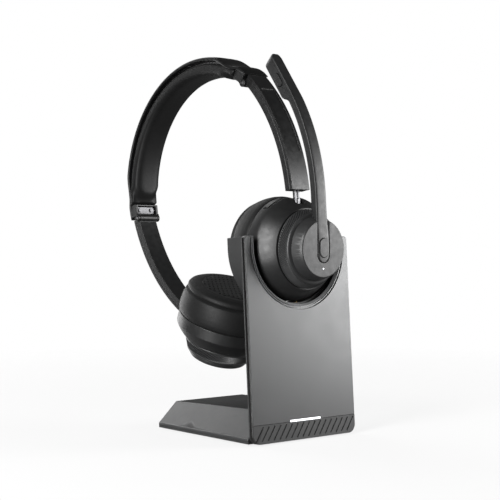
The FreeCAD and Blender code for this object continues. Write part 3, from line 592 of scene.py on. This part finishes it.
def perforated_face(skin):
    """A disc of leather punched with small holes, laid over the cushion's face."""
    spots, faces = punched_disc()
    bm = bmesh.new()
    for spot in spots:
        hit = skin.ray_cast(Vector((spot.x, spot.y, BELOW)), Vector((0, 0, 1)))[0]
        sunk = 0.3 * smooth_step(spot.length, PERFORATED_RADIUS - 0.6, PERFORATED_RADIUS)
        bm.verts.new((spot.x, spot.y, hit.z - DISC_PROUD + sunk))
    bm.verts.ensure_lookup_table()
    for face in faces:
        bm.faces.new([bm.verts[i] for i in face])
    inside = PERFORATED_RADIUS - 0.3
    rims = [e for e in bm.edges if e.is_boundary and math.hypot(*e.verts[0].co.xy) < inside]
    walls = bmesh.ops.extrude_edge_only(bm, edges=rims)["geom"]
    for vertex in [v for v in walls if isinstance(v, bmesh.types.BMVert)]:
        vertex.co.z += HOLE_DEEP
    return mesh_from("perforated", bm)


def sink_under_holes(bm):
    """Lowers the skin behind the punched disc, so that the holes run deep."""
    for vertex in bm.verts:
        if vertex.co.z < SEAM_DEPTH and math.hypot(*vertex.co.xy) < PERFORATED_RADIUS - 0.8:
            vertex.co.z += HOLE_DEEP


def make_cushions():
    bm = bmesh.new()
    bm.from_mesh(cushion_body())
    skin = BVHTree.FromBMesh(bm)
    sink_under_holes(bm)
    bm.from_mesh(perforated_face(skin))
    cushion = bpy.data.meshes.new("cushion_mesh")
    bm.to_mesh(cushion)
    bm.free()
    for side in ("right", "left"):
        piece = new_piece(
            side + "_cushion_pad", cushion.copy(), CUP[side], side + "_cup",
            "cushion_leather", [side + "_cushion"], 50.0,
        )


make_cushions()

# ---- knurled rings ------------------------------------------------------------------

RING_START = {"right": 18.5, "left": 15.7}
RING_LENGTH = {"right": 5.7, "left": 7.7}
RING_BORE = 14.0
RING_NARROWING = 2.3        # over the knurled length
RING_TEETH = 100
TOOTH_HEIGHT = 0.6
TOOTH_SLANT = 0.048         # turn of a tooth per millimetre of the ring's length, in radians


def ring_rows(length):
    """(radius, distance along the ring, share of the knurl) from its back edge to its face."""
    rows = [(RING_BORE, 0.0, 0.0), (21.2, 0.0, 0.0), (21.65, 0.12, 0.0), (21.75, 0.4, 0.0)]
    knurled = even_steps(0.7, length - 1.3, 12)
    for along in knurled:
        radius = 21.7 - RING_NARROWING * (along - 0.7) / (length - 2.0)
        rows.append((radius, along, float(along not in (knurled[0], knurled[-1]))))
    rows += [(radius, length - 1.0, 0.0), (radius - 0.3, length - 0.4, 0.0)]
    return rows + [(radius - 0.9, length, 0.0), (RING_BORE, length, 0.0)]


def knurled_ring_points(radius, height, turn, knurl):
    """One row of points, in and out with the teeth."""
    count = RING_TEETH * 4
    for k in range(count):
        angle = 2 * math.pi * k / count
        reach = radius - knurl * TOOTH_HEIGHT * (0.5 - 0.5 * math.cos(RING_TEETH * angle))
        yield reach * math.cos(angle + turn), reach * math.sin(angle + turn), height


def make_ring(side):
    start = RING_START[side]
    bm = bmesh.new()
    rings = []
    for radius, along, knurl in ring_rows(RING_LENGTH[side]):
        points = knurled_ring_points(radius, start + along, TOOTH_SLANT * along, knurl)
        rings.append([bm.verts.new(point) for point in points])
    for low, high in zip(rings, rings[1:] + rings[:1]):
        join_rings(bm, low, high)
    name = side + "_ring_look"
    ring = side + "_ring"
    new_piece(name, mesh_from(name, bm), CUP[side], ring, "ring_black", [ring], 40.0)


make_ring("right")
make_ring("left")

# ---- boom ---------------------------------------------------------------------------

BOOM_HALF = 3.8
BOOM_FRONT = 31.2
BOOM_ROOT = 2.4
BOOM_LEAN = 3.8
BOOM_STRAIGHT = 26.0
BOOM_CURVE = 115.0
BOOM_BEND = math.radians(32.5)
BEND_END = BOOM_STRAIGHT + BOOM_CURVE * BOOM_BEND
POD_START = BEND_END - 4.0
BOOM_LENGTH = BEND_END + 26.5
MUTE_MIDDLE = POD_START + 13.3
TIP_ROUND = 4.5
TIP_LENGTH = 8.0
FOOT_DEPTH = 3.0            # how far back the foot, the arm and the pod reach from the front
ARM_DEPTH = 4.8
POD_DEPTH = 8.2
FOOT_BOTTOM = -9.7          # along the boom, from its root
FOOT_HALF = 4.2
KEY_MIDDLE = 0.6


def boom_place(x, distance, depth):
    """A point at a distance up the boom from its root, and a depth behind its front."""
    if distance < 0:
        return Vector((x, BOOM_ROOT + distance, BOOM_FRONT - depth))
    turn = min(max(distance - BOOM_STRAIGHT, 0.0) / BOOM_CURVE, BOOM_BEND)
    run = max(distance - BEND_END, 0.0)
    radius = BOOM_CURVE - depth
    rise = min(distance, BOOM_STRAIGHT) + radius * math.sin(turn) + run * math.cos(turn)
    out = radius * math.cos(turn) - BOOM_CURVE - run * math.sin(turn)
    lean = math.radians(BOOM_LEAN)
    y = rise * math.cos(lean) + out * math.sin(lean)
    d = out * math.cos(lean) - rise * math.sin(lean)
    return Vector((x, BOOM_ROOT + y, BOOM_FRONT + d))


def boom_half_width(distance):
    """Half the boom's width: a round foot, a long arm and a rounded tip."""
    round_end = FOOT_BOTTOM + FOOT_HALF
    if distance < round_end:
        return math.sqrt(max(FOOT_HALF ** 2 - (round_end - distance) ** 2, 0.01))
    half = FOOT_HALF - (FOOT_HALF - BOOM_HALF) * smooth_step(distance, 9.0, 15.0)
    to_tip = max(distance - (BOOM_LENGTH - TIP_ROUND), 0.0) / TIP_ROUND
    return half * (1 - 0.6 * to_tip ** 2.5)


def boom_ring(share_out, distance, shrink, tip):
    """One outline of the boom, thicker in its arm and again in its pod. The tip's back slants."""
    half = boom_half_width(distance) * shrink
    front = -0.3 + 0.3 * smooth_step(distance, 2.0, 16.0)
    back = FOOT_DEPTH + (ARM_DEPTH - FOOT_DEPTH) * smooth_step(distance, 13.0, 21.0)
    back += (POD_DEPTH - ARM_DEPTH) * smooth_step(distance, POD_START - 2.5, POD_START + 4.0)
    ring = []
    for across, out in share_out:
        depth = (front + back) / 2 - (back - front) / 2 * out * shrink
        short = tip * max(depth - 1.2, 0.0) * 0.15
        ring.append(boom_place(half * across, distance - short, depth))
    return ring


def prism(outline, low, high):
    """A closed upright block over a flat outline."""
    return swept([[(x, y, height) for x, y in outline] for height in (low, high)])


def pill_outline(half_width, half_length):
    """An oblong with round ends along Y."""
    points = []
    for i in range(24):
        turn = 2 * math.pi * (i + 0.5) / 24
        end = math.copysign(half_length - half_width, math.sin(turn))
        points.append((half_width * math.cos(turn), half_width * math.sin(turn) + end))
    return points


def carved(mesh, cutter_meshes):
    """The mesh with blocks cut out of it."""
    body = bpy.data.objects.new("body", mesh)
    bpy.context.scene.collection.objects.link(body)
    cutters = []
    for cutter_mesh in cutter_meshes:
        cutter = bpy.data.objects.new("cutter", cutter_mesh)
        bpy.context.scene.collection.objects.link(cutter)
        cut = body.modifiers.new("cut", "BOOLEAN")
        cut.operation = "DIFFERENCE"
        cut.object = cutter
        cutters.append(cutter)
    ready = body.evaluated_get(bpy.context.evaluated_depsgraph_get())
    result = bpy.data.meshes.new_from_object(ready)
    for spare in cutters + [body]:
        bpy.data.objects.remove(spare)
    return result


def boom_body():
    """The boom's skin, from its round foot to its tip."""
    share_out = rounded_outline(0.28, 32)
    rings = [boom_ring(share_out, FOOT_BOTTOM + 0.02, 0.8, 0.0)]
    for distance in even_steps(FOOT_BOTTOM + 0.12, FOOT_BOTTOM + FOOT_HALF, 8):
        rings.append(boom_ring(share_out, distance, 1.0, 0.0))
    for distance in even_steps(-5.0, BOOM_LENGTH - TIP_LENGTH, 84):
        rings.append(boom_ring(share_out, distance, 1.0, 0.0))
    for step in range(1, 9):
        distance = BOOM_LENGTH - TIP_LENGTH + step * 0.9
        rings.append(boom_ring(share_out, distance, 1.0, step / 8))
    rings.append(boom_ring(share_out, BOOM_LENGTH - 0.35, 0.9, 1.0))
    rings.append(boom_ring(share_out, BOOM_LENGTH, 0.7, 1.0))
    return mesh_from("boom_look", swept(rings))


def call_key_room():
    room = prism(pill_outline(3.15, 5.35), BOOM_FRONT - 1.6, BOOM_FRONT + 3)
    mesh = mesh_from("key_room", room)
    mesh.transform(Matrix.Translation((0, KEY_MIDDLE, 0)))
    return mesh


def mute_key_room():
    room = prism(pill_outline(2.0, 4.5), BOOM_HALF - 1.8, BOOM_HALF + 2)
    mesh = mesh_from("mute_room", room)
    middle = Matrix.Translation(boom_place(0, MUTE_MIDDLE, POD_DEPTH / 2))
    along_pod = about_x(-math.degrees(BOOM_BEND) - BOOM_LEAN)
    mesh.transform(middle @ along_pod @ Matrix.Rotation(-math.pi / 2, 4, "Y"))
    return mesh


def make_boom():
    mesh = carved(boom_body(), [call_key_room(), mute_key_room()])
    nodes = ["boom_arm", "mic_pod"]
    piece = new_piece("boom_look", mesh, CUP["right"], "boom", "boom_grey", nodes, 32.0)
    soften(piece, 0.12, 2, 40.0)


make_boom()

# ---- headband -----------------------------------------------------------------------

BAND_CENTRE = 69.5
BAND_END = 158.0
BAND_HALF = 10.0
BAND_END_HALF = 8.6
COVER_MIDDLE = 75.4         # radius at the middle of the cover's thickness
COVER_HALF = 1.25           # half its thickness
COVER_CROWN = 0.35
LIP_REACH = 0.8             # degrees past the band's end
PAD_END = 151.2
PAD_OUTER = 73.4
PAD_THICKNESS = 7.3
PAD_HALF = 9.5


def band_place(x, radius, degrees):
    turn = math.radians(degrees)
    return Vector((x, radius * math.cos(turn), BAND_CENTRE + radius * math.sin(turn)))


def cover_ring(share_out, degrees):
    """One outline of the cover. It dips before the hinge, rises into a lip and thins out."""
    from_top = abs(degrees - 90)
    half = BAND_HALF - (BAND_HALF - BAND_END_HALF) * smooth_step(from_top, 52.0, 66.0)
    dip = 2.1 * smooth_step(from_top, 46.0, 56.0) - 1.6 * smooth_step(from_top, 57.5, 63.5)
    thick = COVER_HALF - 0.9 * smooth_step(from_top, 65.5, 69.6)
    ring = []
    for across, out in share_out:
        crown = COVER_CROWN * (1 - across * across) if out > 0 else 0.0
        radius = COVER_MIDDLE - dip + thick * out + crown
        ring.append(band_place(half * across, radius, degrees))
    return ring


def make_band_cover():
    """The glossy outer strip: slightly crowned, narrowing to its ends, with a lip at each."""
    share_out = rounded_outline(0.4, 32)
    end = BAND_END + LIP_REACH
    rings = [cover_ring(share_out, degrees) for degrees in even_steps(180 - end, end, 150)]
    mesh = mesh_from("band_cover_look", swept(rings))
    new_piece("band_cover_look", mesh, HEADSET, "band", "gloss_band", ["band_cover"], 50.0)


def pad_ring(share_out, degrees):
    """One outline of the pad. Its face slopes down to each end in a rounded tongue."""
    end = min(degrees - (180 - PAD_END), PAD_END - degrees)
    full = math.sqrt(1 - (1 - min(end / 1.2, 1.0)) ** 2)
    half = PAD_HALF * (0.9 + 0.1 * full)
    ring = []
    for across, out in share_out:
        slope = smooth_step(end + 5.0 * (1 - across * across), 5.5, 11.0)
        thick = PAD_THICKNESS * (0.3 + 0.3 * full + 0.4 * slope)
        ring.append(band_place(half * across, PAD_OUTER - (1 - out) / 2 * thick, degrees))
    return ring


def make_band_pad():
    """The padded strip inside the band, held along its outer edge and at its ends."""
    share_out = rounded_outline(0.55, 36)
    turns = even_steps(180 - PAD_END + 0.05, PAD_END - 0.05, 150)
    mesh = mesh_from("band_pad_look", swept([pad_ring(share_out, degrees) for degrees in turns]))

    def is_held(co):
        radius = math.hypot(co.y, co.z - BAND_CENTRE)
        angle = abs(math.degrees(math.atan2(co.z - BAND_CENTRE, co.y)) - 90)
        return radius > PAD_OUTER - 1.8 or angle > PAD_END - 90 - 0.6

    puffed = inflated(mesh, is_held, 0.4)
    piece = new_piece("band_pad_look", puffed, HEADSET, "band", "band_leather", ["band_pad"], 50.0)


make_band_cover()
make_band_pad()

# ---- cradle bezel -------------------------------------------------------------------

DOCK_HEIGHT = 105.3
PANEL_LENGTH = 111.6
BEZEL_STEPS = [             # (radius, depth behind the panel's front)
    (33.95, 0.95), (33.95, 0.8), (33.35, 0.8), (33.3, 0.12), (33.0, 0.1),
    (32.95, 0.8), (32.35, 0.8), (32.3, 0.2), (32.1, 0.1), (31.1, 0.75), (31.03, 0.95),
    (32.5, 0.98),
]


def make_bezel():
    """A U-shaped trim: a groove, a thin ring, a second groove and a chamfer."""

    def across(turn, height):
        return [
            (radius * math.sin(turn), depth, height - radius * math.cos(turn))
            for radius, depth in BEZEL_STEPS
        ]

    side_top = PANEL_LENGTH - 0.1
    rings = [across(-math.pi / 2, side_top)]
    rings += [across(turn, DOCK_HEIGHT) for turn in even_steps(-math.pi / 2, math.pi / 2, 97)]
    rings.append(across(math.pi / 2, side_top))
    mesh = mesh_from("bezel_look", swept(rings))
    new_piece("bezel_look", mesh, PANEL, "stand", "bezel", ["cradle_bezel"], 25.0)


make_bezel()

# ---- camera, floor and light --------------------------------------------------------

CAMERA_PLACE = (-0.4382, -0.5171, 0.1036)
CAMERA_AIM = Vector((0.6428, 0.7660, 0.0))
CAMERA_LENS = 85.18
CAMERA_SENSOR = 36.0
FLOOR_REACH = 2.5
FLOOR_FADE = (0.8, 1.0)     # the floor grows clearer between these distances, in metres
FLOOR_CLEAR = (0.15, 0.6)   # from this share to that
LOOK_AT = Vector((0, 0, 0.11))
LIGHTS = {                  # direction, distance in metres, size in metres, power in watts
    "left_box": ((-0.96, -0.26, 0.2), 0.9, (0.3, 1.1), 15.0),
    "top_box": ((0.05, 0.78, 0.6), 1.1, (0.9, 0.5), 2.2),
    "right_box": ((0.8, -0.57, 0.14), 0.7, (0.35, 0.35), 5.5),
    "rim_box": ((-0.05, 1.0, 0.05), 1.1, (0.8, 0.9), 7.0),
}


def make_camera():
    data = bpy.data.cameras.new("camera")
    data.lens = CAMERA_LENS
    data.sensor_width = CAMERA_SENSOR
    camera = bpy.data.objects.new("camera", data)
    camera.location = CAMERA_PLACE
    camera.rotation_euler = CAMERA_AIM.to_track_quat("-Z", "Y").to_euler()
    bpy.context.scene.collection.objects.link(camera)
    bpy.context.scene.camera = camera


def make_floor():
    """A pale floor that fades out into the pale surroundings."""
    bm = bmesh.new()
    bmesh.ops.create_circle(bm, cap_ends=True, segments=96, radius=FLOOR_REACH)
    mesh = mesh_from("floor", bm)
    floor = bpy.data.objects.new("floor", mesh)
    bpy.context.scene.collection.objects.link(floor)
    m = Nodes("floor_paper")
    m.shade(m.noise(60.0), (0.93, 0.93, 0.93), (0.95, 0.95, 0.95))
    m.set(Roughness=0.7)
    distance = m.add("ShaderNodeVectorMath", operation="LENGTH")
    m.link(m.place, distance.inputs[0])
    fade = m.spread(distance.outputs["Value"], *FLOOR_FADE, *FLOOR_CLEAR)
    clear = m.add("ShaderNodeBsdfTransparent")
    mix = m.add("ShaderNodeMixShader")
    m.link(fade, mix.inputs[0])
    m.link(m.shader.outputs[0], mix.inputs[1])
    m.link(clear.outputs[0], mix.inputs[2])
    m.link(mix.outputs[0], m.output.inputs[0])
    mesh.materials.append(m.material)


def make_surroundings(seen, lit):
    """White to the eye, and a soft grey as a light."""
    world = bpy.data.worlds.new("surroundings")
    world.use_nodes = True
    tree = world.node_tree
    tree.nodes.clear()
    output = tree.nodes.new("ShaderNodeOutputWorld")
    light_path = tree.nodes.new("ShaderNodeLightPath")
    mix = tree.nodes.new("ShaderNodeMixShader")
    for index, level in ((1, lit), (2, seen)):
        background = tree.nodes.new("ShaderNodeBackground")
        background.inputs[0].default_value = (1, 1, 1, 1)
        background.inputs[1].default_value = level
        tree.links.new(background.outputs[0], mix.inputs[index])
    tree.links.new(light_path.outputs["Is Camera Ray"], mix.inputs[0])
    tree.links.new(mix.outputs[0], output.inputs[0])
    bpy.context.scene.world = world


def soft_box(name, direction, distance, size, power):
    """An area light that looks at the headset from a direction."""
    data = bpy.data.lights.new(name, "AREA")
    data.shape = "RECTANGLE"
    data.size, data.size_y = size
    data.energy = power
    light = bpy.data.objects.new(name, data)
    light.location = LOOK_AT + Vector(direction).normalized() * distance
    light.rotation_euler = (LOOK_AT - light.location).to_track_quat("-Z", "Y").to_euler()
    light.visible_camera = False
    bpy.context.scene.collection.objects.link(light)


def make_lights():
    bpy.context.scene.view_settings.view_transform = "Standard"
    make_surroundings(1.0, 0.05)
    for name, settings in LIGHTS.items():
        soft_box(name, *settings)


make_camera()
make_floor()
make_lights()

bpy.context.view_layer.update()
